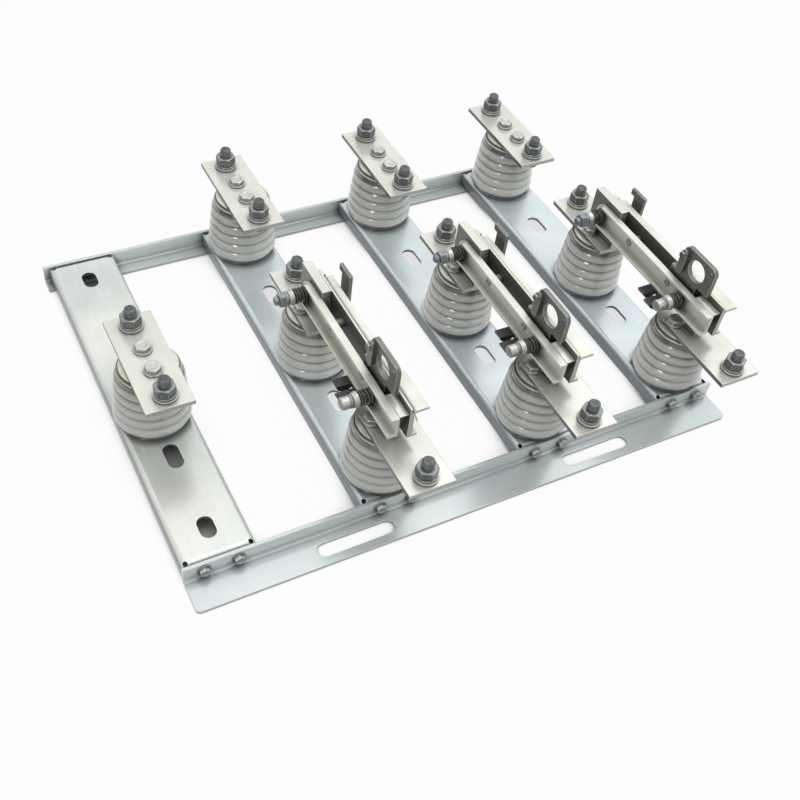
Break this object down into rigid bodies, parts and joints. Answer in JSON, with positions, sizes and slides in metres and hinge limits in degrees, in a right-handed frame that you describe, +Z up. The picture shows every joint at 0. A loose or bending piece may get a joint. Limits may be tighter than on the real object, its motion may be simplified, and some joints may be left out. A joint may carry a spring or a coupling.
{
  "type": "fuse switch disconnector",
  "caption": "Open-frame fuse switch disconnector: steel channels on two rails carry ribbed post insulators, bolted terminal bars and hinged twin knife blades with pull eyes.",
  "frame": {"origin": "on the floor, at the middle of the rectangle that the whole switch covers from above", "axes": "+X along the rails towards the last pole, +Y from the contact side to the rear rail, +Z up from the rails through the posts"},
  "size_m": [0.521, 0.431, 0.153],
  "materials": {
    "zinc_plate": "satin zinc plating on folded sheet",
    "porcelain": "white gloss glaze",
    "cap_metal": "turned plated metal",
    "plated_bar": "satin tin plating on copper bar",
    "plated_blade": "satin tin plating on copper sheet",
    "bolt_steel": "zinc-plated fasteners",
    "spring_steel": "oiled spring wire",
    "dark_steel": "darkened steel plate",
    "black_resin": "moulded black resin"
  },
  "bodies": {
    "frame": {"front_rail": "zinc_plate", "rear_rail": "zinc_plate", "channel_neutral": "zinc_plate", "channel_pole_1": "zinc_plate", "channel_pole_2": "zinc_plate", "channel_pole_3": "zinc_plate", "insulator_neutral": "porcelain", "insulators_rear": "porcelain", "insulators_hinge": "porcelain", "insulators_contact": "porcelain", "post_caps": "cap_metal", "neutral_bar": "plated_bar", "rear_bar_1": "plated_bar", "rear_bar_2": "plated_bar", "rear_bar_3": "plated_bar", "hinge_terminal_1": "plated_bar", "hinge_terminal_2": "plated_bar", "hinge_terminal_3": "plated_bar", "contact_terminal_1": "plated_bar", "contact_terminal_2": "plated_bar", "contact_terminal_3": "plated_bar", "bar_studs": "bolt_steel", "terminal_studs": "bolt_steel", "opening_stop_1": "dark_steel", "opening_stop_2": "dark_steel", "opening_stop_3": "dark_steel"},
    "blade_1": {"blade_left_1": "plated_blade", "blade_right_1": "plated_blade", "blade_spacers_1": "plated_blade", "pivot_bolt_1": "bolt_steel", "clamp_bolt_1": "bolt_steel", "blade_springs_1": "spring_steel", "pull_eye_1": "dark_steel", "latch_arm_1": "dark_steel", "claw_1": "black_resin"},
    "blade_2": {"blade_left_2": "plated_blade", "blade_right_2": "plated_blade", "blade_spacers_2": "plated_blade", "pivot_bolt_2": "bolt_steel", "clamp_bolt_2": "bolt_steel", "blade_springs_2": "spring_steel", "pull_eye_2": "dark_steel", "latch_arm_2": "dark_steel", "claw_2": "black_resin"},
    "blade_3": {"blade_left_3": "plated_blade", "blade_right_3": "plated_blade", "blade_spacers_3": "plated_blade", "pivot_bolt_3": "bolt_steel", "clamp_bolt_3": "bolt_steel", "blade_springs_3": "spring_steel", "pull_eye_3": "dark_steel", "latch_arm_3": "dark_steel", "claw_3": "black_resin"}
  },
  "joints": [
    {"name": "blade_1_hinge", "type": "hinge", "parent": "frame", "child": "blade_1", "pos_m": [-0.08, -0.0135, 0.109], "axis": [-1, 0, 0], "range_deg": [0, 90]},
    {"name": "blade_2_hinge", "type": "hinge", "parent": "frame", "child": "blade_2", "pos_m": [0.07, -0.0135, 0.109], "axis": [-1, 0, 0], "range_deg": [0, 90]},
    {"name": "blade_3_hinge", "type": "hinge", "parent": "frame", "child": "blade_3", "pos_m": [0.22, -0.0135, 0.109], "axis": [-1, 0, 0], "range_deg": [0, 90]}
  ]
}
